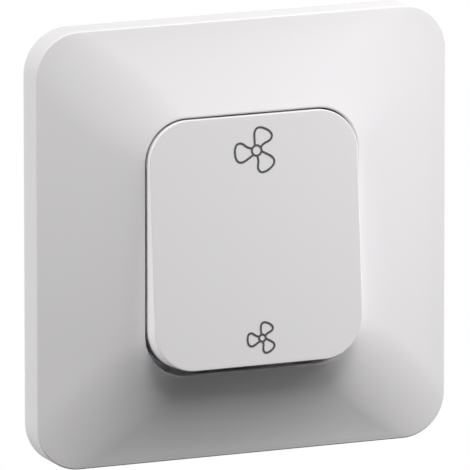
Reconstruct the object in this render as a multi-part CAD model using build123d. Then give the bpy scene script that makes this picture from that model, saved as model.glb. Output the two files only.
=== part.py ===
from build123d import *
import math
import os

# Ventilation control switch: a flush wall switch with one two-position key.
# Everything is modelled face up: X runs right, Y up the wall, Z out of the wall.
# The pieces are stood on the wall at the end: origin at the wall's surface, centre
# of the plate, +Z up, and the front facing -Y. All sizes are in millimetres.

# Cover plate
plate_width = 84.0
plate_corner_radius = 8.7
plate_rim_depth = 6.2
plate_rise = 4.58
plate_wall = 2.0
plate_edge_radius = 0.25
flare_curve = 1.2
flare_corner_softness = 3.0
flare_steps = 4
opening_width = 43.4
opening_height = 49.36
opening_corner_radius = 8.3
opening_lip_radius = 0.3
opening_lip_depth = 1.2
collar_wall = 1.6
collar_setback = 0.7

# Snap legs behind the plate's collar
snap_leg_width = 5.0
snap_leg_offset = 10.0
snap_leg_reach = 1.5
snap_hook_depth = 0.8
snap_hook_height = 1.2
snap_leg_gap = 0.3
latch_gap = 0.05

# Key
key_side_gap = 0.375
key_end_gap = 0.88
key_corner_radius = 8.1
key_wall = 1.5
key_skirt_depth = 6.5
key_edge_radius = 0.2
pivot_height = 4.1
face_reach = 8.91
key_tilt = 4.5
seat_rib_thickness = 1.2
seat_rib_offset = 9.0
clip_leg_width = 10.0
clip_leg_thickness = 1.5
clip_hook_depth = 0.7
clip_hook_height = 0.9
clip_gap = 0.1

# Printed fan marks on the key
mark_thickness = 0.05
mark_stroke = 0.4
mark_offset = 0.55
high_mark_reach = 4.36
high_mark_inset = 6.75
low_mark_reach = 2.98
low_mark_inset = 5.2
mark_hub_share = 0.225
blade_count = 3

# Steel mounting frame
frame_width = 71.0
frame_thickness = 1.2
frame_corner_radius = 4.0
frame_opening_width = 30.0
frame_opening_height = 34.0
frame_opening_radius = 6.0
box_screw_spacing = 60.0
box_slot_width = 4.0
box_slot_length = 8.0

# Housing of the mechanism
housing_side_gap = 1.7
housing_end_gap = 2.68
housing_corner_radius = 4.0
housing_wall = 2.0
housing_edge_radius = 0.8
boss_radius = 3.0
boss_inset = 3.5
cover_thickness = 1.8
cover_cross_height = 7.0
cover_window_width = 10.0
cover_window_height = 15.0

# Screws through the cover and the frame into the housing
cover_screw_radius = 1.15
cover_screw_length = 9.0
cover_screw_head_radius = 2.2
cover_screw_head_height = 1.3
screw_slot_width = 0.6
screw_slot_share = 0.5
screw_hole_gap = 0.2
thread_gap = 0.05

# Cradle that carries the key
cradle_width = 27.0
cradle_height = 34.0
cradle_thickness = 1.8
cradle_lift = 2.8
cheek_thickness = 1.8
cheek_radius = 2.4
trunnion_radius = 1.6
trunnion_gap = 0.05
ear_gap = 0.2
ear_thickness = 2.4
ear_radius = 3.3
ear_mouth_share = 0.85
tube_radius = 3.1
tube_reach = 7.6
tube_cap = 1.2

# Plunger and its spring
plunger_radius = 1.9
plunger_length = 10.6
plunger_gap = 0.05
plunger_tip_gap = 0.1
spring_wire = 0.45
spring_radius = 1.45
spring_turns = 6
spring_end_gap = 0.02

# Contact lever on its knife edge
fulcrum_depth = 10.5
lever_ratio = 1.5
lever_length = 21.5
lever_width = 6.0
lever_thickness = 1.0
knife_radius = 0.4
knife_gap = 0.05
knife_tab_width = 0.8
knife_tab_height = 1.6
knife_tab_gap = 0.1

# Contact tips
tip_offset = 9.0
tip_radius = 1.5
tip_height = 0.6
tip_dome = 0.3
contact_gap = 0.06

# Fixed strips and terminals
strip_thickness = 0.8
strip_width = 5.0
strip_overhang = 2.8
terminal_inset = 8.0
terminal_width = 7.0
terminal_height = 8.0
terminal_gap = 0.1
terminal_pocket_wall = 1.4
wire_bore_radius = 1.6
wire_entry_radius = 2.0
wire_entry_chamfer = 0.8
terminal_screw_radius = 1.25
terminal_screw_head_radius = 2.5
terminal_screw_head_height = 1.8
terminal_screw_head_gap = 0.3
screw_access_radius = 2.9

# Places worked out from the sizes above
rim_top = plate_rim_depth + plate_rise
key_width = opening_width - 2 * key_side_gap
key_height = opening_height - 2 * key_end_gap
high_mark_height = key_height / 2 - high_mark_inset
low_mark_height = low_mark_inset - key_height / 2
face_height = pivot_height + face_reach
housing_width = opening_width - 2 * housing_side_gap
housing_height = opening_height - 2 * housing_end_gap
terminal_offset = housing_width / 2 - terminal_inset
cover_top = frame_thickness + cover_thickness
cradle_bottom = pivot_height + cradle_lift
cradle_top = cradle_bottom + cradle_thickness
bore_top = cradle_top - tube_cap
bore_radius = plunger_radius + plunger_gap
tube_bottom = pivot_height - tube_reach
lever_front = -fulcrum_depth + lever_thickness
nose_bottom = lever_front + plunger_tip_gap
nose_centre = nose_bottom + plunger_radius
plunger_top = nose_bottom + plunger_length
lever_tilt = lever_ratio * key_tilt
boss_x = housing_width / 2 - boss_inset
boss_y = housing_height / 2 - boss_inset

# Where the domed moving tip comes down on the fixed tip, with the lever tilted
dome_radius = (tip_radius ** 2 + tip_dome ** 2) / (2 * tip_dome)
dome_centre_lift = dome_radius - tip_height
tilt_sine = math.sin(math.radians(lever_tilt))
tilt_cosine = math.cos(math.radians(lever_tilt))
touch_offset = tip_offset * tilt_cosine + dome_centre_lift * tilt_sine
touch_drop = tip_offset * tilt_sine - dome_centre_lift * tilt_cosine + dome_radius
fixed_tip_top = -fulcrum_depth - touch_drop - contact_gap
strip_top = fixed_tip_top - tip_height
strip_bottom = strip_top - strip_thickness
housing_floor = strip_bottom - terminal_height
housing_back = housing_floor - housing_wall
terminal_middle = strip_bottom - terminal_height / 2

corner_signs = [(-1, -1), (-1, 1), (1, -1), (1, 1)]
wall = Plane.XZ.location


def block(x_low, x_high, y_low, y_high, z_low, z_high):
    corner = Pos(x_low, y_low, z_low)
    size = (x_high - x_low, y_high - y_low, z_high - z_low)
    return corner * Box(*size, align=(Align.MIN, Align.MIN, Align.MIN))


def rounded_block(width, height, radius, z_low, z_high):
    return extrude(Pos(0, 0, z_low) * RectangleRounded(width, height, radius), z_high - z_low)


def rod(x, y, radius, z_low, z_high):
    base = (Align.CENTER, Align.CENTER, Align.MIN)
    return Pos(x, y, z_low) * Cylinder(radius, z_high - z_low, align=base)


def cross_rod(y, z, radius, x_low, x_high):
    base = (Align.CENTER, Align.CENTER, Align.MIN)
    return Pos(x_low, y, z) * Rot(0, 90, 0) * Cylinder(radius, x_high - x_low, align=base)


# The plate's face climbs from its outer edge to the opening. Each step is a rounded
# rectangle, and the corners are softer half way, as the four slopes blend together.
def flare_section(share, shrink, z_low, rise):
    width = plate_width + (opening_width - plate_width) * share + shrink
    height = plate_width + (opening_height - plate_width) * share + shrink
    corner = plate_corner_radius + (opening_corner_radius - plate_corner_radius) * share
    softness = 4 * flare_corner_softness * share * (1 - share)
    radius = corner + softness + shrink / 2
    place = Pos(0, 0, z_low + rise * share ** flare_curve)
    return place * RectangleRounded(width, height, radius)


def flare(shrink_outside, shrink_inside, z_low, rise):
    sections = []
    for step in range(flare_steps + 1):
        share = step / flare_steps
        shrink = shrink_outside + (shrink_inside - shrink_outside) * share
        sections.append(flare_section(share, shrink, z_low, rise))
    return loft(sections)


def edges_at(shape, height):
    near = 0.001
    return shape.edges().filter_by_position(Axis.Z, height - near, height + near)


def snap_leg(side_x, side_y):
    middle = side_x * snap_leg_offset
    inside = opening_height / 2 + collar_setback
    outside = opening_height / 2 + collar_wall
    hook_top = -latch_gap
    leg = block(middle - snap_leg_width / 2, middle + snap_leg_width / 2,
                inside, outside, -snap_leg_reach, frame_thickness)
    hook = block(middle - snap_leg_width / 2, middle + snap_leg_width / 2,
                 outside, outside + snap_hook_depth, hook_top - snap_hook_height, hook_top)
    whole = leg + hook
    return whole if side_y > 0 else mirror(whole, about=Plane.XZ)


def cover_plate():
    body = rounded_block(plate_width, plate_width, plate_corner_radius, 0, plate_rim_depth)
    body += flare(0, 0, plate_rim_depth, plate_rise)
    body = fillet(edges_at(body, plate_rim_depth), plate_edge_radius)
    hollow_top = plate_rim_depth - plate_wall
    hollow = rounded_block(plate_width - 2 * plate_wall, plate_width - 2 * plate_wall,
                           plate_corner_radius - plate_wall, 0, hollow_top)
    hollow += flare(-2 * plate_wall, 2 * collar_wall, hollow_top, plate_rise)
    collar = rounded_block(opening_width + 2 * collar_wall, opening_height + 2 * collar_wall,
                           opening_corner_radius + collar_wall, frame_thickness, rim_top)
    body -= hollow - collar
    opening = rounded_block(opening_width, opening_height, opening_corner_radius, 0, rim_top)
    body -= opening
    body -= rounded_block(opening_width + 2 * collar_setback, opening_height + 2 * collar_setback,
                          opening_corner_radius + collar_setback, 0, rim_top - opening_lip_depth)
    inner_edges = edges_at(body, rim_top).sort_by(SortBy.LENGTH)
    body = fillet(inner_edges, opening_lip_radius)
    for side_x, side_y in corner_signs:
        body += snap_leg(side_x, side_y)
    return body


def key_shell():
    half_width = key_width / 2
    half_height = key_height / 2
    back = face_height - key_skirt_depth
    body = rounded_block(key_width, key_height, key_corner_radius, back, face_height)
    body = fillet(edges_at(body, face_height), key_edge_radius)
    body -= rounded_block(key_width - 2 * key_wall, key_height - 2 * key_wall,
                          key_corner_radius - key_wall, back, face_height - key_wall)
    return body


def rocker():
    body = key_shell()
    under_face = face_height - key_wall
    for side in (-1, 1):
        middle = side * seat_rib_offset
        body += block(middle - seat_rib_thickness / 2, middle + seat_rib_thickness / 2,
                      -cradle_height / 2, cradle_height / 2, cradle_top, under_face)
        inside = cradle_height / 2 + clip_gap
        outside = inside + clip_leg_thickness
        hook_top = cradle_bottom - clip_gap
        hook_bottom = hook_top - clip_hook_height
        leg = block(-clip_leg_width / 2, clip_leg_width / 2, inside, outside,
                    hook_bottom, under_face)
        hook = block(-clip_leg_width / 2, clip_leg_width / 2, inside - clip_gap - clip_hook_depth,
                     inside, hook_bottom, hook_top)
        clip = leg + hook
        body += clip if side > 0 else mirror(clip, about=Plane.XZ)
    return body


# One blade of the fan mark is an open line that leaves the hub ring and comes back to it:
# straight up, round a tight shoulder, and over a long sloping crown to a tight heel.
def blade_line(reach):
    start = (-0.075 * reach, 0.21 * reach)
    edge = (-0.086 * reach, 0.56 * reach)
    shoulder = (-0.062 * reach, 0.82 * reach)
    corner = (0.036 * reach, 0.958 * reach)
    top = (0.18 * reach, 0.996 * reach)
    crown = (0.42 * reach, 0.93 * reach)
    slope = (0.64 * reach, 0.785 * reach)
    heel = (0.733 * reach, 0.62 * reach)
    turn = (0.665 * reach, 0.44 * reach)
    waist = (0.40 * reach, 0.305 * reach)
    end = (0.19 * reach, 0.13 * reach)
    return Spline(start, edge, shoulder, corner, top, crown, slope, heel, turn, waist, end,
                  tangents=((-0.05, 1), (-0.7, -0.7)))


def fan_mark(reach, height):
    hub_radius = mark_hub_share * reach
    outline = Sketch() + [Rot(0, 0, turn * 360 / blade_count) * trace(blade_line(reach), mark_stroke)
                          for turn in range(blade_count)]
    outline -= Circle(hub_radius)
    outline += Circle(hub_radius + mark_stroke / 2) - Circle(hub_radius - mark_stroke / 2)
    return extrude(Pos(mark_offset, height, face_height) * outline, mark_thickness)


def box_slots():
    half = box_screw_spacing / 2
    across = SlotOverall(box_slot_length, box_slot_width)
    upright = Rot(0, 0, 90) * across
    slots = Pos(half, 0) * across + Pos(-half, 0) * across
    return slots + Pos(0, half) * upright + Pos(0, -half) * upright


def mounting_frame():
    sheet = RectangleRounded(frame_width, frame_width, frame_corner_radius)
    sheet -= RectangleRounded(frame_opening_width, frame_opening_height, frame_opening_radius)
    sheet -= box_slots()
    leg_middle = opening_height / 2 + collar_wall / 2
    for side_x, side_y in corner_signs:
        latch = Rectangle(snap_leg_width + 2 * snap_leg_gap, collar_wall + 2 * snap_leg_gap)
        sheet -= Pos(side_x * snap_leg_offset, side_y * leg_middle) * latch
        sheet -= Pos(side_x * boss_x, side_y * boss_y) * Circle(cover_screw_radius + screw_hole_gap)
    return extrude(sheet, frame_thickness)


def bearing_ear(side):
    inside = cradle_width / 2 + ear_gap
    outside = inside + ear_thickness
    low, high = sorted((side * inside, side * outside))
    ear = cross_rod(0, pivot_height, ear_radius, low, high)
    ear += block(low, high, -ear_radius, ear_radius, frame_thickness, pivot_height)
    ear &= block(low, high, -ear_radius, ear_radius, frame_thickness, pivot_height + ear_radius)
    hole_radius = trunnion_radius + trunnion_gap
    mouth = ear_mouth_share * hole_radius
    ear -= cross_rod(0, pivot_height, hole_radius, low, high)
    ear -= block(low, high, -mouth, mouth, pivot_height, pivot_height + ear_radius)
    return ear


def mechanism_cover():
    lid = RectangleRounded(housing_width, housing_height, housing_corner_radius)
    lid -= Rectangle(cradle_width + 2 * ear_gap, cover_cross_height)
    lid -= Rectangle(cover_window_width, cover_window_height)
    for side_x, side_y in corner_signs:
        lid -= Pos(side_x * boss_x, side_y * boss_y) * Circle(cover_screw_radius + screw_hole_gap)
    body = extrude(Pos(0, 0, frame_thickness) * lid, cover_thickness)
    for side in (-1, 1):
        inside = cradle_width / 2 + ear_gap
        low, high = sorted((side * inside, side * (inside + ear_thickness)))
        body -= block(low, high, -ear_radius, ear_radius, frame_thickness, cover_top)
        body += bearing_ear(side)
    return body


def terminal_places():
    return {
        "high_speed": (terminal_offset, -touch_offset, 1),
        "low_speed": (terminal_offset, touch_offset, 1),
        "common": (-terminal_offset, 0, -1),
    }


def terminal_tower(x, y):
    outside = terminal_width / 2 + terminal_gap + terminal_pocket_wall
    return block(x - outside, x + outside, y - outside, y + outside, housing_floor, strip_bottom)


def terminal_cuts(x, y, side):
    pocket = terminal_width / 2 + terminal_gap
    cuts = block(x - pocket, x + pocket, y - pocket, y + pocket, housing_floor, strip_bottom)
    cuts += rod(x, y, wire_entry_radius, housing_back, housing_floor)
    funnel = Cone(wire_entry_radius + wire_entry_chamfer, wire_entry_radius, wire_entry_chamfer,
                  align=(Align.CENTER, Align.CENTER, Align.MIN))
    cuts += Pos(x, y, housing_back) * funnel
    low, high = sorted((x + side * terminal_width / 2, side * housing_width / 2))
    return cuts + cross_rod(y, terminal_middle, screw_access_radius, low, high)


def strip_rib(y, side):
    low, high = sorted((-side * strip_overhang, side * (terminal_offset - terminal_width / 2)))
    return block(low, high, y - housing_wall / 2, y + housing_wall / 2,
                 housing_floor, strip_bottom)


def mechanism_base():
    body = rounded_block(housing_width, housing_height, housing_corner_radius, housing_back, 0)
    body = fillet(edges_at(body, housing_back), housing_edge_radius)
    hollow = rounded_block(housing_width - 2 * housing_wall, housing_height - 2 * housing_wall,
                           housing_corner_radius - housing_wall, housing_floor, 0)
    for side_x, side_y in corner_signs:
        hollow -= rod(side_x * boss_x, side_y * boss_y, boss_radius, housing_floor, 0)
    body -= hollow
    for x, y, side in terminal_places().values():
        body += terminal_tower(x, y) + strip_rib(y, side)
        body -= terminal_cuts(x, y, side)
    pilot_depth = cover_screw_length - cover_top
    for side_x, side_y in corner_signs:
        body -= rod(side_x * boss_x, side_y * boss_y, cover_screw_radius + thread_gap,
                    -pilot_depth - 2 * thread_gap, 0)
    return body


def slotted_screw(shank_radius, length, head_radius, head_height):
    screw = rod(0, 0, shank_radius, -length, 0) + rod(0, 0, head_radius, 0, head_height)
    slot_depth = screw_slot_share * head_height
    return screw - block(-head_radius, head_radius, -screw_slot_width / 2, screw_slot_width / 2,
                         head_height - slot_depth, head_height)


def cover_screws():
    screw = slotted_screw(cover_screw_radius, cover_screw_length, cover_screw_head_radius,
                          cover_screw_head_height)
    return [Pos(side_x * boss_x, side_y * boss_y, cover_top) * screw
            for side_x, side_y in corner_signs]


def terminal_block(x, y, side):
    half = terminal_width / 2
    body = block(x - half, x + half, y - half, y + half, housing_floor, strip_bottom)
    body -= rod(x, y, wire_bore_radius, housing_floor, strip_bottom)
    low, high = sorted((x, x + side * half))
    return body - cross_rod(y, terminal_middle, terminal_screw_radius + thread_gap, low, high)


def terminal_screws():
    half = terminal_width / 2
    length = half + terminal_screw_head_gap - wire_bore_radius - thread_gap
    screw = slotted_screw(terminal_screw_radius, length, terminal_screw_head_radius,
                          terminal_screw_head_height)
    return [Pos(x + side * (half + terminal_screw_head_gap), y, terminal_middle)
            * Rot(0, side * 90, 0) * screw for x, y, side in terminal_places().values()]


def fixed_strip(y, side):
    low, high = sorted((-side * strip_overhang, side * (terminal_offset + terminal_width / 2)))
    return block(low, high, y - strip_width / 2, y + strip_width / 2, strip_bottom, strip_top)


def knife_edge():
    inside = lever_width / 2 + knife_tab_gap
    outside = inside + knife_tab_width
    blade = block(-outside, outside, -knife_radius, knife_radius, strip_top, -fulcrum_depth)
    blade += cross_rod(0, -fulcrum_depth, knife_radius, -inside, inside)
    for low, high in ((-outside, -inside), (inside, outside)):
        blade += block(low, high, -knife_radius, knife_radius, -fulcrum_depth,
                       -fulcrum_depth + knife_tab_height)
    return blade


def common_contact():
    return fixed_strip(0, -1) + knife_edge()


def fixed_contact_tips():
    return [rod(0, side * touch_offset, tip_radius, strip_top, fixed_tip_top)
            for side in (-1, 1)]


def contact_lever():
    half = lever_length / 2
    body = block(-lever_width / 2, lever_width / 2, -half, half, -fulcrum_depth, lever_front)
    return body - cross_rod(0, -fulcrum_depth, knife_radius + knife_gap,
                            -lever_width / 2, lever_width / 2)


def moving_contact_tips():
    disc = rod(0, 0, tip_radius, -tip_height, 0)
    dome = Pos(0, 0, dome_centre_lift) * Sphere(dome_radius)
    tip = disc & dome
    return [Pos(0, side * tip_offset, -fulcrum_depth) * tip for side in (-1, 1)]


def cradle_cheek(side):
    outside = cradle_width / 2
    inside = outside - cheek_thickness
    low, high = sorted((side * inside, side * outside))
    cheek = cross_rod(0, pivot_height, cheek_radius, low, high)
    cheek += block(low, high, -cheek_radius, cheek_radius, pivot_height, cradle_bottom)
    low, high = sorted((side * outside, side * (outside + ear_gap + ear_thickness)))
    return cheek + cross_rod(0, pivot_height, trunnion_radius, low, high)


def cradle():
    body = block(-cradle_width / 2, cradle_width / 2, -cradle_height / 2, cradle_height / 2,
                 cradle_bottom, cradle_top)
    body += rod(0, 0, tube_radius, tube_bottom, cradle_top)
    for side in (-1, 1):
        body += cradle_cheek(side)
    return body - rod(0, 0, bore_radius, tube_bottom, bore_top)


def plunger():
    nose = Pos(0, 0, nose_centre) * Sphere(plunger_radius)
    return rod(0, 0, plunger_radius, nose_centre, plunger_top) + nose


def plunger_spring():
    length = bore_top - plunger_top - spring_wire - 2 * spring_end_gap
    coil = Helix(length / spring_turns, length, spring_radius)
    start = Plane(origin=coil @ 0, z_dir=coil % 0)
    wire = sweep(start * Circle(spring_wire / 2), path=coil)
    return Pos(0, 0, plunger_top + spring_wire / 2 + spring_end_gap) * wire


# The key, cradle, plunger and spring rock about the trunnions, top pressed in at rest.
def tilt_key(shape):
    return Pos(0, 0, pivot_height) * Rot(-key_tilt, 0, 0) * Pos(0, 0, -pivot_height) * shape


# The lever leans the other way on its knife edge, with its lower end on the fixed tip.
def tilt_lever(shape):
    return Pos(0, 0, -fulcrum_depth) * Rot(lever_tilt, 0, 0) * Pos(0, 0, fulcrum_depth) * shape


def group(shapes):
    return Compound(children=list(shapes))


def fixed_pieces():
    places = terminal_places()
    pieces = {
        "cover_plate": cover_plate(),
        "mounting_frame": mounting_frame(),
        "mechanism_base": mechanism_base(),
        "mechanism_cover": mechanism_cover(),
        "cover_screws": group(cover_screws()),
        "terminal_screws": group(terminal_screws()),
        "high_speed_contact": fixed_strip(-touch_offset, 1),
        "low_speed_contact": fixed_strip(touch_offset, 1),
        "common_contact": common_contact(),
        "fixed_contact_tips": group(fixed_contact_tips()),
    }
    for name, place in places.items():
        pieces[name + "_terminal"] = terminal_block(*place)
    return pieces


def moving_pieces():
    with_key = {
        "rocker": rocker(),
        "high_speed_mark": fan_mark(high_mark_reach, high_mark_height),
        "low_speed_mark": fan_mark(low_mark_reach, low_mark_height),
        "cradle": cradle(),
        "plunger": plunger(),
        "plunger_spring": plunger_spring(),
    }
    with_lever = {
        "contact_lever": contact_lever(),
        "moving_contact_tips": group(moving_contact_tips()),
    }
    pieces = {name: tilt_key(shape) for name, shape in with_key.items()}
    pieces.update({name: tilt_lever(shape) for name, shape in with_lever.items()})
    return pieces


os.makedirs("parts", exist_ok=True)
for name, shape in {**fixed_pieces(), **moving_pieces()}.items():
    export_step(wall * shape, "parts/" + name + ".step")
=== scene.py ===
import math

import bmesh
import bpy
from mathutils import Matrix, Vector


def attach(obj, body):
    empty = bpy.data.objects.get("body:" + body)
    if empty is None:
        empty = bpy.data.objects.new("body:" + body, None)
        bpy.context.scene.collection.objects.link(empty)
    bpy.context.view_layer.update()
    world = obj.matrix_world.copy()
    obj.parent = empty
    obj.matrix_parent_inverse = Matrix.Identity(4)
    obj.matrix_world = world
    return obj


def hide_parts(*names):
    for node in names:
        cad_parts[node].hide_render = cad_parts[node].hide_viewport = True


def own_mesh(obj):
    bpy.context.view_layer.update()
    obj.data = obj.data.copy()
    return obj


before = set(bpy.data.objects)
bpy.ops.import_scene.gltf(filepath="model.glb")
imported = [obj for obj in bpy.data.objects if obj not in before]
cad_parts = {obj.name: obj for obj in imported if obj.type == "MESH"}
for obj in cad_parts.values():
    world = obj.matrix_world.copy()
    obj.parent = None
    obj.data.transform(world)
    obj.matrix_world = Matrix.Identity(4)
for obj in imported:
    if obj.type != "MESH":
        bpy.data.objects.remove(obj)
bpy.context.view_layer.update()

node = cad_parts

# Mounting frame
# A flat square of 1.2 mm steel, stamped with its screw slots and hot-dip galvanised.
# It is screwed on the wall box, and everything else is clamped or snapped to it.


class Wire:
    """An output socket in a node tree. Arithmetic on it adds Math nodes."""

    def __init__(self, graph, socket):
        self.graph = graph
        self.socket = socket

    def math(self, operation, *values):
        return self.graph.add("ShaderNodeMath", {"operation": operation}, *values)

    def __add__(self, other):
        return self.math("ADD", self, other)

    def __radd__(self, other):
        return self.math("ADD", other, self)

    def __sub__(self, other):
        return self.math("SUBTRACT", self, other)

    def __rsub__(self, other):
        return self.math("SUBTRACT", other, self)

    def __mul__(self, other):
        return self.math("MULTIPLY", self, other)

    def __rmul__(self, other):
        return self.math("MULTIPLY", other, self)

    def __truediv__(self, other):
        return self.math("DIVIDE", self, other)


class Graph:
    """A node tree. One method adds any node: its type, settings, and values or wires."""

    def __init__(self, tree):
        self.tree = tree

    def put(self, socket, value):
        if isinstance(value, Wire):
            self.tree.links.new(value.socket, socket)
        elif value is not None:
            socket.default_value = value

    def add(self, kind, settings=None, *values, output=0, **named):
        made = self.tree.nodes.new(kind)
        for name, value in (settings or {}).items():
            setattr(made, name, value)
        for socket, value in zip(made.inputs, values):
            self.put(socket, value)
        for name, value in named.items():
            self.put(made.inputs[name.replace("_", " ")], value)
        return Wire(self, made.outputs[output])


class Finish(Graph):
    """A material. Plain numbers go on the shader's own sockets, and wires feed the rest."""

    def __init__(self, name, **constants):
        self.material = bpy.data.materials.new(name)
        self.material.use_nodes = True
        super().__init__(self.material.node_tree)
        self.shader = self.tree.nodes["Principled BSDF"]
        self.place = self.add("ShaderNodeTexCoord", output="Object")
        self.feed(**constants)

    def feed(self, **inputs):
        for name, value in inputs.items():
            self.put(self.shader.inputs[name.replace("_", " ")], value)

    def stretched(self, x, y, z):
        return self.add("ShaderNodeMapping", None, self.place, Scale=(x, y, z))

    def noise(self, size, detail, where=None):
        return self.add("ShaderNodeTexNoise", None, where or self.place,
                        Scale=1 / size, Detail=detail)

    def tint(self, share, first, second):
        mixed = self.add("ShaderNodeMix", {"data_type": "RGBA"}, output=2)
        made = mixed.socket.node
        self.put(made.inputs[0], share)
        self.put(made.inputs[6], (*first, 1.0))
        self.put(made.inputs[7], (*second, 1.0))
        return mixed

    def relief(self, height, depth):
        return self.add("ShaderNodeBump", None, Height=height, Distance=depth, Strength=1.0)


def dress(name, finish):
    for place in node[name].material_slots:
        place.material = finish.material


zinc = Finish("galvanised steel", Metallic=1.0)
crystal_size = 0.0045
crystals = zinc.add("ShaderNodeTexVoronoi", {"feature": "F1"}, zinc.place,
                    Scale=1 / crystal_size, output="Color")
crystal_tone = zinc.add("ShaderNodeSeparateColor", None, crystals)
rolling = zinc.noise(size=0.0006, detail=3.0, where=zinc.stretched(1.0, 1.0, 0.08))
zinc.feed(Base_Color=zinc.tint(crystal_tone, (0.46, 0.48, 0.50), (0.60, 0.61, 0.62)),
          Roughness=0.30 + 0.16 * crystal_tone + 0.06 * rolling,
          Normal=zinc.relief(rolling, depth=0.000004))
dress("mounting_frame", zinc)

# Mechanism housing
# A deep box moulded in light grey plastic. Behind it are the three wire entries, and in
# its sides the holes for a screwdriver. The four cover screws clamp it to the frame.

housing_plastic = Finish("light grey housing plastic", IOR=1.5)
spark_grain = housing_plastic.noise(size=0.00018, detail=3.0)
flow_marks = housing_plastic.noise(size=0.012, detail=2.0,
                                   where=housing_plastic.stretched(1.0, 1.0, 0.3))
housing_plastic.feed(
    Base_Color=housing_plastic.tint(flow_marks, (0.60, 0.60, 0.59), (0.64, 0.64, 0.63)),
    Roughness=0.46 + 0.12 * spark_grain,
    Normal=housing_plastic.relief(spark_grain, depth=0.000012))
dress("mechanism_base", housing_plastic)

# Terminals and contact strips
# Three machined brass clamp blocks, each under its stamped brass strip. The strips are
# pressed in slots of the housing, and the middle one carries the knife edge.

strip_brass = Finish("stamped brass", Metallic=1.0)
sheet_grain = strip_brass.noise(size=0.0004, detail=3.0,
                                where=strip_brass.stretched(0.1, 1.0, 1.0))
tarnish = strip_brass.noise(size=0.0035, detail=4.0)
strip_brass.feed(
    Base_Color=strip_brass.tint(tarnish, (0.62, 0.42, 0.17), (0.82, 0.62, 0.30)),
    Roughness=0.26 + 0.18 * sheet_grain,
    Normal=strip_brass.relief(sheet_grain, depth=0.000004))
for strip in ("high_speed_contact", "low_speed_contact", "common_contact", "contact_lever"):
    dress(strip, strip_brass)

block_brass = Finish("machined brass", Metallic=1.0)
cutter_marks = block_brass.noise(size=0.00025, detail=2.0,
                                 where=block_brass.stretched(1.0, 0.12, 1.0))
handling = block_brass.noise(size=0.003, detail=4.0)
block_brass.feed(
    Base_Color=block_brass.tint(handling, (0.68, 0.47, 0.20), (0.86, 0.66, 0.34)),
    Roughness=0.22 + 0.16 * cutter_marks,
    Normal=block_brass.relief(cutter_marks, depth=0.000006))
for block in ("high_speed_terminal", "low_speed_terminal", "common_terminal"):
    dress(block, block_brass)

# Contact tips
# Small discs of silver alloy, riveted on the strips and under both ends of the lever.
# The faces that meet are slightly grey from use.

silver = Finish("silver contact alloy", Metallic=1.0)
wear = silver.noise(size=0.0008, detail=4.0)
silver.feed(Base_Color=silver.tint(wear, (0.66, 0.65, 0.63), (0.90, 0.89, 0.87)),
            Roughness=0.24 + 0.22 * wear,
            Normal=silver.relief(wear, depth=0.000005))
dress("fixed_contact_tips", silver)
dress("moving_contact_tips", silver)

# Clamp screws and cover screws
# Slotted zinc-plated steel screws, turned and passivated. Three clamp the wires in the
# terminals, and four hold the cover and the housing on the steel frame.

plated = Finish("zinc plated steel", Metallic=1.0)
turning = plated.noise(size=0.0003, detail=3.0)
passivation = plated.noise(size=0.0025, detail=3.0)
plated.feed(Base_Color=plated.tint(passivation, (0.60, 0.58, 0.52), (0.74, 0.73, 0.70)),
            Roughness=0.24 + 0.16 * turning,
            Normal=plated.relief(turning, depth=0.000004))
MM = 0.001
screw_sides = 40
screw_crease = math.radians(30)
head_chamfer_share = 0.12
tip_length_share = 0.5
tip_radius_share = 0.7
tip_overlap = 0.9
shank_sink = 0.5
threaded_share = 0.86
thread_foot_share = 0.97
thread_steps = 28
ridge_corners = 3
ridge_lift = 0.3
ridge_size = 0.62
slot_reach = 3.0


def tree_with(name, inputs):
    """A new geometry tree with its inputs by name, and a way to close it."""
    tree = bpy.data.node_groups.new(name, "GeometryNodeTree")
    for label, kind in inputs.items():
        tree.interface.new_socket(label, in_out="INPUT", socket_type="NodeSocket" + kind)
    tree.interface.new_socket("Geometry", in_out="OUTPUT", socket_type="NodeSocketGeometry")
    graph = Graph(tree)
    entry = tree.nodes.new("NodeGroupInput")
    given = {label: Wire(graph, entry.outputs[label]) for label in inputs}

    def close(shape):
        real = graph.add("GeometryNodeRealizeInstances", None, shape)
        dressed = graph.add("GeometryNodeSetMaterial", None, real, Material=given["Finish"])
        graph.put(tree.nodes.new("NodeGroupOutput").inputs[0], dressed)
        return tree

    return graph, given, close


def grow(name, tree, points, attributes, values):
    """Runs a tree on a few points and returns the outcome as a plain object."""
    seed = bpy.data.meshes.new(name)
    seed.from_pydata(points, [], [])
    for label, numbers in attributes.items():
        seed.attributes.new(label, "FLOAT", "POINT").data.foreach_set("value", numbers)
    piece = bpy.data.objects.new(name, seed)
    bpy.context.scene.collection.objects.link(piece)
    modifier = piece.modifiers.new("shape", "NODES")
    modifier.node_group = tree
    for socket in tree.interface.items_tree:
        if socket.in_out == "INPUT" and socket.name in values:
            modifier[socket.identifier] = values[socket.name]
    ready = piece.evaluated_get(bpy.context.evaluated_depsgraph_get())
    mesh = bpy.data.meshes.new_from_object(ready)
    piece.modifiers.remove(modifier)
    piece.data = mesh
    bpy.data.meshes.remove(seed)
    mesh.name = name
    return piece


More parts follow.
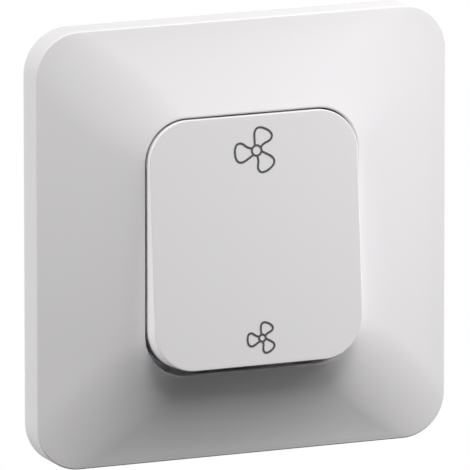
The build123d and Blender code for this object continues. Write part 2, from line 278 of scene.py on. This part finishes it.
def screw_tree():
    """One slotted screw on each point, with its head towards the point's aim."""
    graph, given, close = tree_with("slotted screw", {
        "Points": "Geometry", "Shank Radius": "Float", "Length": "Float",
        "Head Radius": "Float", "Head Height": "Float", "Slot Width": "Float",
        "Slot Depth": "Float", "Thread Pitch": "Float", "Thread Depth": "Float",
        "Finish": "Material"})
    length, radius = given["Length"], given["Shank Radius"]
    head, height = given["Head Radius"], given["Head Height"]
    depth, pitch = given["Thread Depth"], given["Thread Pitch"]

    def cone(low, high, tall, place):
        made = graph.add("GeometryNodeMeshCone", None, screw_sides, 1, 1, high, low, tall)
        lift = graph.add("ShaderNodeCombineXYZ", None, 0.0, 0.0, place)
        return graph.add("GeometryNodeTransform", None, made, Translation=lift)

    core = radius - depth
    chamfer = head_chamfer_share * height
    tip = tip_length_share * core
    shank = cone(core, core, length + shank_sink * height - tip_overlap * tip,
                 tip_overlap * tip - length)
    point = cone(tip_radius_share * core, core, tip, 0 - length)
    lower = cone(head, head, height - chamfer, 0.0)
    upper = cone(head, head - chamfer, chamfer, height - chamfer)
    united = graph.add("GeometryNodeMeshBoolean", {"operation": "UNION", "solver": "EXACT"})
    for body in (shank, point, lower, upper):
        graph.put(united.socket.node.inputs["Mesh 2"], body)
    size = graph.add("ShaderNodeCombineXYZ", None, slot_reach * head, given["Slot Width"],
                     2 * given["Slot Depth"])
    cutter = graph.add("GeometryNodeMeshCube", None, size)
    lift = graph.add("ShaderNodeCombineXYZ", None, 0.0, 0.0, height)
    cutter = graph.add("GeometryNodeTransform", None, cutter, Translation=lift)
    slotted = graph.add("GeometryNodeMeshBoolean",
                        {"operation": "DIFFERENCE", "solver": "EXACT"})
    graph.put(slotted.socket.node.inputs["Mesh 1"], united)
    graph.put(slotted.socket.node.inputs["Mesh 2"], cutter)
    threaded = length * threaded_share
    helix = graph.add("GeometryNodeCurveSpiral", None, thread_steps, threaded / pitch,
                      core + ridge_lift * depth, core + ridge_lift * depth, threaded, False)
    drop = graph.add("ShaderNodeCombineXYZ", None, 0.0, 0.0, 0 - length * thread_foot_share)
    helix = graph.add("GeometryNodeTransform", None, helix, Translation=drop)
    ridge = graph.add("GeometryNodeCurvePrimitiveCircle", None, ridge_corners,
                      Radius=ridge_size * depth)
    thread = graph.add("GeometryNodeCurveToMesh", None, Curve=helix, Profile_Curve=ridge,
                       Fill_Caps=True)
    whole = graph.add("GeometryNodeJoinGeometry")
    for body in (slotted, thread):
        graph.put(whole.socket.node.inputs[0], body)
    aim = [graph.add("GeometryNodeInputNamedAttribute", {"data_type": "FLOAT"}, "aim_" + axis)
           for axis in "xyz"]
    aim = graph.add("ShaderNodeCombineXYZ", None, *aim)
    turn = graph.add("FunctionNodeAlignRotationToVector", {"axis": "Z"}, Vector=aim)
    placed = graph.add("GeometryNodeInstanceOnPoints", None, Points=given["Points"],
                       Instance=whole, Rotation=turn)
    return close(placed)


def screws(name, stands, replaced, **sizes):
    """Screws that stand at (x, y, z) with heads towards (aim x, aim y, aim z)."""
    points = [[value * MM for value in stand[:3]] for stand in stands]
    aims = {"aim_" + axis: [stand[3 + k] for stand in stands] for k, axis in enumerate("xyz")}
    values = {label.replace("_", " "): value * MM for label, value in sizes.items()}
    made = grow(name, screw_shape, points, aims, {**values, "Finish": plated.material})
    made.data.shade_smooth()
    made.data.set_sharp_from_angle(angle=screw_crease)
    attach(made, "fixed")
    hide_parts(replaced)


screw_shape = screw_tree()
cover_top, boss_x, boss_z = 3.0, 16.5, 18.5
screws("cover_clamp_screws",
       [(x, -cover_top, z, 0.0, -1.0, 0.0)
        for x in (-boss_x, boss_x) for z in (-boss_z, boss_z)],
       "cover_screws", Shank_Radius=1.15, Length=9.0, Head_Radius=2.2, Head_Height=1.3,
       Slot_Width=0.6, Slot_Depth=0.65, Thread_Pitch=0.9, Thread_Depth=0.22)
terminal_x, terminal_depth, lever_z, head_seat = 12.0, 17.6407, 9.32549, 3.8
screws("wire_clamp_screws",
       [(side * (terminal_x + head_seat), terminal_depth, z, side, 0.0, 0.0)
        for z, side in ((-lever_z, 1.0), (lever_z, 1.0), (0.0, -1.0))],
       "terminal_screws", Shank_Radius=1.25, Length=2.15, Head_Radius=2.5, Head_Height=1.8,
       Slot_Width=0.6, Slot_Depth=0.9, Thread_Pitch=0.5, Thread_Depth=0.14)

# Mechanism cover
# The white lid of the housing, one moulding with the two ears that the cradle turns in.
# The four cover screws hold it on the frame.

cover_plastic = Finish("white cover plastic", IOR=1.5)
cover_grain = cover_plastic.noise(size=0.0002, detail=3.0)
cover_cloud = cover_plastic.noise(size=0.015, detail=2.0)
cover_plastic.feed(
    Base_Color=cover_plastic.tint(cover_cloud, (0.70, 0.70, 0.69), (0.74, 0.74, 0.73)),
    Roughness=0.42 + 0.12 * cover_grain,
    Normal=cover_plastic.relief(cover_grain, depth=0.00001))
dress("mechanism_cover", cover_plastic)

# Cradle, plunger and spring
# The moulded cradle rocks on its trunnions and carries the key, and rests tilted as the
# key does. In its tube a coiled steel spring pushes the acetal plunger on the lever.

cradle_plastic = Finish("cradle plastic", IOR=1.5)
cradle_grain = cradle_plastic.noise(size=0.0002, detail=3.0)
cradle_cloud = cradle_plastic.noise(size=0.012, detail=2.0)
cradle_plastic.feed(
    Base_Color=cradle_plastic.tint(cradle_cloud, (0.66, 0.66, 0.65), (0.71, 0.71, 0.70)),
    Roughness=0.40 + 0.12 * cradle_grain,
    Normal=cradle_plastic.relief(cradle_grain, depth=0.00001))
dress("cradle", cradle_plastic)

acetal = Finish("acetal", IOR=1.48)
acetal_skin = acetal.noise(size=0.0006, detail=3.0)
acetal.feed(Base_Color=acetal.tint(acetal_skin, (0.74, 0.71, 0.62), (0.80, 0.78, 0.70)),
            Roughness=0.22 + 0.12 * acetal_skin,
            Normal=acetal.relief(acetal_skin, depth=0.000004))
dress("plunger", acetal)

spring_steel = Finish("drawn spring steel", Metallic=1.0)
drawing = spring_steel.noise(size=0.00012, detail=3.0)
spring_steel.feed(
    Base_Color=spring_steel.tint(drawing, (0.42, 0.42, 0.43), (0.60, 0.60, 0.61)),
    Roughness=0.24 + 0.14 * drawing,
    Normal=spring_steel.relief(drawing, depth=0.000003))
key_tilt = math.radians(-4.5)
pivot = Vector((0.0, -0.0041, 0.0))
tilted = (Matrix.Translation(pivot) @ Matrix.Rotation(key_tilt, 4, "X")
          @ Matrix.Translation(-pivot))
bore_top = 7.5
plunger_top = 1.2
spring_radius = 1.45
spring_wire = 0.45
spring_turns = 6.0
spring_end_gap = 0.02
spring_steps = 28
spring_crease = math.radians(45)
wire_sides = 12


def spring_tree():
    """A coil of round wire that climbs from the origin, with its ends cut square."""
    graph, given, close = tree_with("coil spring", {
        "Coil Radius": "Float", "Wire Radius": "Float", "Length": "Float", "Turns": "Float",
        "Finish": "Material"})
    radius = given["Coil Radius"]
    coil = graph.add("GeometryNodeCurveSpiral", None, spring_steps, given["Turns"], radius,
                     radius, given["Length"], True)
    section = graph.add("GeometryNodeCurvePrimitiveCircle", None, wire_sides,
                        Radius=given["Wire Radius"])
    wire = graph.add("GeometryNodeCurveToMesh", None, Curve=coil, Profile_Curve=section,
                     Fill_Caps=True)
    return close(wire)


spring_start = plunger_top + spring_wire / 2 + spring_end_gap
spring_length = bore_top - plunger_top - spring_wire - 2 * spring_end_gap
spring = grow("coil_spring", spring_tree(), [], {}, {
    "Coil Radius": spring_radius * MM, "Wire Radius": spring_wire / 2 * MM,
    "Length": spring_length * MM, "Turns": spring_turns, "Finish": spring_steel.material})
spring.data.transform(tilted @ Matrix.Translation((0.0, -spring_start * MM, 0.0))
                      @ Matrix.Rotation(math.pi / 2, 4, "X"))
spring.data.shade_smooth()
spring.data.set_sharp_from_angle(angle=spring_crease)
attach(spring, "key")
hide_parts("plunger_spring")
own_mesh(spring)

# Cover plate
# The square white surround, one satin moulding. Its face climbs in four gentle slopes
# from the outer edge to the opening, and four legs snap it on the steel frame.

plate_half = 42.0
plate_corner = 8.7
plate_rim = 6.2
plate_rise = 4.58
plate_wall = 2.0
plate_edge = 0.35
flare_curve = 1.2
flare_softness = 3.0
flare_start = 0.02
flare_rings = 40
flare_back_rings = 8
crest_slope = math.radians(16)
opening_half_width = 21.7
opening_half_height = 24.68
opening_corner = 8.3
opening_lip = 0.3
opening_lip_depth = 1.2
collar_setback = 0.7
collar_wall = 1.6
collar_back = 1.2
edge_break = 0.15
arc_rings = 7
corner_steps = 20
column_guard = 0.0001
merge_gap = 0.0000005
moulding_crease = math.radians(32)


def rings_tree():
    """Each point of the profile becomes a rounded rectangle that lies across the depth."""
    graph, given, close = tree_with("rounded rings", {
        "Profile": "Geometry", "Corner Steps": "Int", "Finish": "Material"})
    profile, steps = given["Profile"], given["Corner Steps"]
    rows = graph.add("GeometryNodeAttributeDomainSize", None, profile)
    columns = 4 * (steps + 1) + 1
    grid = graph.add("GeometryNodeMeshGrid", None, 1.0, 1.0, rows, columns)
    index = graph.add("GeometryNodeInputIndex")
    row = (index / columns).math("FLOOR", index / columns)
    column = index - row * columns
    corner = column / (steps + 1)
    corner = corner.math("FLOOR", corner + column_guard)
    step = column - corner * (steps + 1)
    turn = (corner + step / steps) * (math.pi / 2)
    middle = (corner + 0.5) * (math.pi / 2)

    def along(name):
        value = graph.add("GeometryNodeInputNamedAttribute", {"data_type": "FLOAT"}, name)
        return graph.add("GeometryNodeSampleIndex", {"data_type": "FLOAT"},
                         profile, value, row)

    radius = along("corner")
    side_x = middle.math("SIGN", middle.math("COSINE", middle))
    side_y = middle.math("SIGN", middle.math("SINE", middle))
    x = side_x * (along("half_width") - radius) + radius * turn.math("COSINE", turn)
    y = side_y * (along("half_height") - radius) + radius * turn.math("SINE", turn)
    place = graph.add("ShaderNodeCombineXYZ", None, x, 0 - along("height"), y)
    shaped = graph.add("GeometryNodeSetPosition", None, grid, Position=place)
    closed = graph.add("GeometryNodeMergeByDistance", None, shaped, Distance=merge_gap)
    return close(closed)


def moulding(name, profile, finish):
    """A moulding from rings of (half width, half height, corner radius, height)."""
    columns = list(zip(*[[value * MM for value in ring] for ring in profile]))
    labels = ("half_width", "half_height", "corner", "height")
    points = [(0.0, 0.0, 0.0)] * len(profile)
    values = {"Corner Steps": corner_steps, "Finish": finish.material}
    return grow(name, rings_shape, points, dict(zip(labels, columns)), values)


def fuse(piece, bars):
    """Joins bars on a moulding. Each is an outline of (up, out) and runs from low to high."""
    shape = bmesh.new()
    for outline, low, high in bars:
        near = [shape.verts.new((low * MM, -out * MM, up * MM)) for up, out in outline]
        far = [shape.verts.new((high * MM, -out * MM, up * MM)) for up, out in outline]
        shape.faces.new(near)
        shape.faces.new(far[::-1])
        for k in range(len(outline)):
            shape.faces.new((near[k], near[k - 1], far[k - 1], far[k]))
    bmesh.ops.recalc_face_normals(shape, faces=shape.faces)
    mesh = bpy.data.meshes.new("bars")
    shape.to_mesh(mesh)
    shape.free()
    mesh.materials.append(piece.data.materials[0])
    helper = bpy.data.objects.new("bars", mesh)
    bpy.context.scene.collection.objects.link(helper)
    join = piece.modifiers.new("join", "BOOLEAN")
    join.operation = "UNION"
    join.solver = "EXACT"
    join.object = helper
    ready = piece.evaluated_get(bpy.context.evaluated_depsgraph_get())
    joined = bpy.data.meshes.new_from_object(ready)
    piece.modifiers.remove(join)
    piece.data = joined
    joined.name = piece.name
    bpy.data.objects.remove(helper)
    joined.shade_smooth()
    joined.set_sharp_from_angle(angle=moulding_crease)


def both_ends(outline, low, high):
    """The same bar at the upper end and, turned over, at the lower end."""
    return [(outline, low, high), ([(-up, out) for up, out in outline], low, high)]


def inwards(half_width, half_height, corner, offset, height):
    """A ring at a height, moved in from an outline by an offset."""
    return (half_width - offset, half_height - offset, max(corner - offset, 0.0), height)


def flare_ring(share, shrink, low):
    """A ring of the plate's face, from share 0 at its rim to share 1 at its opening."""
    half_width = plate_half + (opening_half_width - plate_half) * share
    half_height = plate_half + (opening_half_height - plate_half) * share
    corner = plate_corner + (opening_corner - plate_corner) * share
    corner += 4 * flare_softness * share * (1 - share)
    height = low + plate_rise * share ** flare_curve
    return inwards(half_width, half_height, corner, shrink, height)


rings_shape = rings_tree()
rim = (plate_half, plate_half, plate_corner)
hole = (opening_half_width, opening_half_height, opening_corner)
plate_profile = [inwards(*rim, edge_break, 0.0), inwards(*rim, 0.0, edge_break)]
for ring in range(arc_rings + 1):
    angle = math.pi / 2 * ring / arc_rings
    plate_profile.append(inwards(*rim, plate_edge * (1 - math.cos(angle)),
                                 plate_rim - plate_edge + plate_edge * math.sin(angle)))
lip_share = (1 - opening_lip * (1 + math.sin(crest_slope))
             / (plate_half - opening_half_width))
for ring in range(1, flare_rings):
    share = flare_start + (lip_share - flare_start) * ring / flare_rings
    plate_profile.append(flare_ring(share, 0.0, plate_rim))
crest = (plate_rim + plate_rise * lip_share ** flare_curve
         - opening_lip * math.cos(crest_slope))
for ring in range(arc_rings + 1):
    angle = -crest_slope + (math.pi / 2 + crest_slope) * ring / arc_rings
    plate_profile.append(inwards(*hole, -opening_lip * (1 - math.sin(angle)),
                                 crest + opening_lip * math.cos(angle)))
lip_back = plate_rim + plate_rise - opening_lip_depth
plate_profile += [
    inwards(*hole, 0.0, lip_back + edge_break),
    inwards(*hole, -edge_break, lip_back),
    inwards(*hole, -collar_setback, lip_back),
    inwards(*hole, -collar_setback, collar_back + edge_break),
    inwards(*hole, -collar_setback - edge_break, collar_back),
    inwards(*hole, -collar_wall + edge_break, collar_back),
    inwards(*hole, -collar_wall, collar_back + edge_break)]
for ring in range(flare_back_rings + 1):
    share = 1 - ring / flare_back_rings
    plate_profile.append(flare_ring(share, plate_wall - (plate_wall + collar_wall) * share,
                                    plate_rim - plate_wall))
plate_profile += [
    inwards(*rim, plate_wall, edge_break),
    inwards(*rim, plate_wall - edge_break, 0.0),
    plate_profile[0]]

satin_white = Finish("satin white plastic", IOR=1.5, Specular_IOR_Level=0.12)
fine_grain = satin_white.noise(size=0.00022, detail=2.0)
slow_cloud = satin_white.noise(size=0.03, detail=2.0)
satin_white.feed(
    Base_Color=satin_white.tint(slow_cloud, (0.838, 0.822, 0.834), (0.846, 0.830, 0.842)),
    Roughness=0.40 + 0.06 * fine_grain,
    Normal=satin_white.relief(fine_grain, depth=0.000002))

plate = moulding("square_surround", plate_profile, satin_white)
snap_leg = [(25.40, 2.0), (26.26, 2.0), (26.26, -0.05), (27.08, -0.05), (27.08, -0.55),
            (26.4, -1.5), (25.6, -1.5), (25.40, -1.3)]
snap_leg_offset, snap_leg_half = 10.0, 2.5
fuse(plate, [bar for side in (-1, 1)
             for bar in both_ends(snap_leg, side * snap_leg_offset - snap_leg_half,
                                  side * snap_leg_offset + snap_leg_half)])
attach(plate, "fixed")
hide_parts("cover_plate")

# Key
# The big white rectangle that is pressed at its top or bottom, one hollow satin moulding.
# It clips on the cradle behind it and rests here with its top pressed in.

key_half_width = 21.325
key_half_height = 23.8
key_corner = 8.1
key_edge = 0.2
key_face_inset = 0.6
key_face = 13.01
key_back = 6.51
key_wall = 1.5

key_rim = (key_half_width, key_half_height, key_corner)
key_profile = [(0.0, 0.0, 0.0, key_face), inwards(*key_rim, key_face_inset, key_face)]
for ring in range(arc_rings + 1):
    angle = math.pi / 2 * ring / arc_rings
    key_profile.append(inwards(*key_rim, key_edge * (1 - math.sin(angle)),
                               key_face - key_edge + key_edge * math.cos(angle)))
key_profile += [
    inwards(*key_rim, 0.0, key_back + edge_break),
    inwards(*key_rim, edge_break, key_back),
    inwards(*key_rim, key_wall - edge_break, key_back),
    inwards(*key_rim, key_wall, key_back + edge_break),
    inwards(*key_rim, key_wall, key_face - key_wall),
    (0.0, 0.0, 0.0, key_face - key_wall)]

key = moulding("two_position_key", key_profile, satin_white)
seat_rib = [(17.0, 8.7), (17.0, 12.0), (-17.0, 12.0), (-17.0, 8.7)]
clip_leg = [(18.6, 12.0), (17.1, 12.0), (17.1, 6.8), (16.3, 6.8), (16.3, 6.5), (16.9, 5.9),
            (18.4, 5.9), (18.6, 6.1)]
seat_rib_near, seat_rib_far, clip_leg_half = 8.4, 9.6, 5.0
fuse(key, [(seat_rib, -seat_rib_far, -seat_rib_near), (seat_rib, seat_rib_near, seat_rib_far),
           *both_ends(clip_leg, -clip_leg_half, clip_leg_half)])
key.data.transform(tilted)
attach(key, "key")
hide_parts("rocker")

# Fan marks
# Two outlines of a three-bladed fan, pad printed in dark grey: the large one is the high
# speed at the key's top, and the small one the low speed at its bottom.

ink = Finish("dark grey ink", IOR=1.45)
ink_edge = ink.noise(size=0.0001, detail=3.0)
ink_density = ink.noise(size=0.0012, detail=2.0)
ink.feed(Base_Color=ink.tint(ink_density, (0.055, 0.052, 0.053), (0.085, 0.081, 0.083)),
         Roughness=0.5 + 0.1 * ink_edge,
         Normal=ink.relief(ink_edge, depth=0.000002))
dress("high_speed_mark", ink)
dress("low_speed_mark", ink)

# Studio
# The camera stands at the photograph's place: a long lens, a little above and left.
# Soft lamps light the object from above and from both sides, and two more from behind.

view_target = Vector((0.001095, 0.0, -0.000881))
view_distance = 2.016657
view_azimuth = math.radians(23.118)
view_elevation = math.radians(12.011)
sensor_width, picture_width, focal_pixels, sight_limit = 36.0, 470, 10651.761, 20.0
towards_camera = Vector((-math.sin(view_azimuth) * math.cos(view_elevation),
                         -math.cos(view_azimuth) * math.cos(view_elevation),
                         math.sin(view_elevation)))
lens = bpy.data.cameras.new("long lens")
lens.sensor_width = sensor_width
lens.lens = sensor_width * focal_pixels / picture_width
lens.clip_end = sight_limit
camera = bpy.data.objects.new("camera", lens)
camera.location = view_target + view_distance * towards_camera
camera.rotation_euler = (-towards_camera).to_track_quat("-Z", "Y").to_euler()
bpy.context.scene.collection.objects.link(camera)
bpy.context.scene.camera = camera


def lamp(name, turn, lift, distance, size, watts):
    """A soft round lamp. Turn runs from the right over the top, and lift out of the wall."""
    turn, lift = math.radians(turn), math.radians(lift)
    side = Vector((math.cos(turn) * math.cos(lift), -math.sin(lift),
                   math.sin(turn) * math.cos(lift)))
    light = bpy.data.lights.new(name, "AREA")
    light.shape = "DISK"
    light.size = size
    light.energy = watts
    made = bpy.data.objects.new(name, light)
    made.location = lamp_target + side * distance
    made.rotation_euler = (-side).to_track_quat("-Z", "Y").to_euler()
    bpy.context.scene.collection.objects.link(made)


lamp_target = Vector((0.0, -0.008, 0.0))
far, far_size, wide_size = 1.2, 0.4665, 1.0
close, close_size = 0.30, 0.183
lamp("right close", turn=0, lift=14, distance=close, size=close_size, watts=0.413)
lamp("upper right close", turn=45, lift=28, distance=close, size=close_size, watts=0.254)
lamp("upper right", turn=45, lift=21, distance=far, size=far_size, watts=2.36)
lamp("top right", turn=68, lift=21, distance=far, size=far_size, watts=3.68)
lamp("top", turn=90, lift=32, distance=far, size=far_size, watts=7.53)
lamp("top left", turn=112, lift=32, distance=far, size=far_size, watts=1.02)
lamp("left edge", turn=180, lift=3, distance=far, size=far_size, watts=7.22)
lamp("left edge low", turn=180, lift=-8, distance=far, size=far_size, watts=2.34)
lamp("behind right", turn=345, lift=-50, distance=far, size=wide_size, watts=0.7)
lamp("behind", turn=270, lift=-85, distance=far, size=wide_size, watts=2.0)

world = bpy.data.worlds.new("white surround")
world.use_nodes = True
surround = Graph(world.node_tree)
rays = world.node_tree.nodes.new("ShaderNodeLightPath")
seen = Wire(surround, rays.outputs["Is Camera Ray"])
seen = seen.math("MAXIMUM", seen, Wire(surround, rays.outputs["Is Glossy Ray"]))
seen = seen.math("MAXIMUM", seen, Wire(surround, rays.outputs["Is Transmission Ray"]))
background = world.node_tree.nodes["Background"]
background.inputs["Color"].default_value = (1.0, 1.0, 1.0, 1.0)
surround.put(background.inputs["Strength"], seen)
bpy.context.scene.world = world

floor_level = -0.45
floor_radius = 1.3
floor_sides = 96
disc = bmesh.new()
bmesh.ops.create_circle(disc, cap_ends=True, radius=floor_radius, segments=floor_sides,
                        matrix=Matrix.Translation((0.0, 0.0, floor_level)))
floor_mesh = bpy.data.meshes.new("floor")
disc.to_mesh(floor_mesh)
disc.free()
pale = Finish("pale floor", Roughness=0.9)
pale_cloud = pale.noise(size=0.4, detail=2.0)
pale.feed(Base_Color=pale.tint(pale_cloud, (0.80, 0.80, 0.80), (0.82, 0.82, 0.82)))
floor_mesh.materials.append(pale.material)
floor = bpy.data.objects.new("floor", floor_mesh)
bpy.context.scene.collection.objects.link(floor)
floor.visible_diffuse = False

bpy.context.scene.view_settings.view_transform = "Standard"
